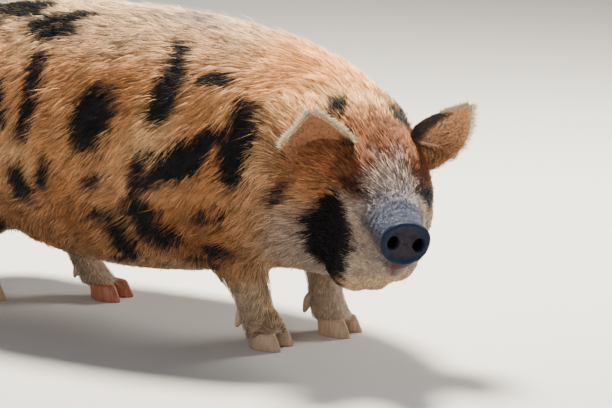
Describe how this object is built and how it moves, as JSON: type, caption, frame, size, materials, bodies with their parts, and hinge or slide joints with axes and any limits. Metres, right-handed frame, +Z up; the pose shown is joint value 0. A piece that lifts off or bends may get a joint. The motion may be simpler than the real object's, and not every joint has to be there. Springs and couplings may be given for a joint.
{
  "type": "kunekune pig figure",
  "caption": "Life-size still figure of a hairy spotted kunekune pig walking slowly, head low and turned to its right.",
  "frame": {"origin": "on the floor under the middle of the whole pig's footprint", "axes": "+X forward along the trunk, +Y to the pig's left, +Z up"},
  "size_m": [1.351, 0.5359, 0.6543],
  "materials": {
    "ginger coat": "long coarse hair, ginger with black spots and a cream face",
    "horn": "satin horn",
    "eye": "wet and dark",
    "snout skin": "moist bare slate skin"
  },
  "bodies": {
    "root": {"claw_fore_left_inner": "horn", "claw_fore_left_outer": "horn", "claw_fore_right_inner": "horn", "claw_fore_right_outer": "horn", "claw_hind_left_inner": "horn", "claw_hind_left_outer": "horn", "claw_hind_right_inner": "horn", "claw_hind_right_outer": "horn", "dewclaw_fore_left_inner": "horn", "dewclaw_fore_left_outer": "horn", "dewclaw_fore_right_inner": "horn", "dewclaw_fore_right_outer": "horn", "dewclaw_hind_left_inner": "horn", "dewclaw_hind_left_outer": "horn", "dewclaw_hind_right_inner": "horn", "dewclaw_hind_right_outer": "horn", "ear_left": "ginger coat", "ear_right": "ginger coat", "eye_left": "eye", "eye_right": "eye", "foreleg_left": "ginger coat", "foreleg_right": "ginger coat", "head": "ginger coat", "hindleg_left": "ginger coat", "hindleg_right": "ginger coat", "neck": "ginger coat", "snout_disc": "snout skin", "tail": "ginger coat", "torso": "ginger coat"}
  },
  "joints": []
}
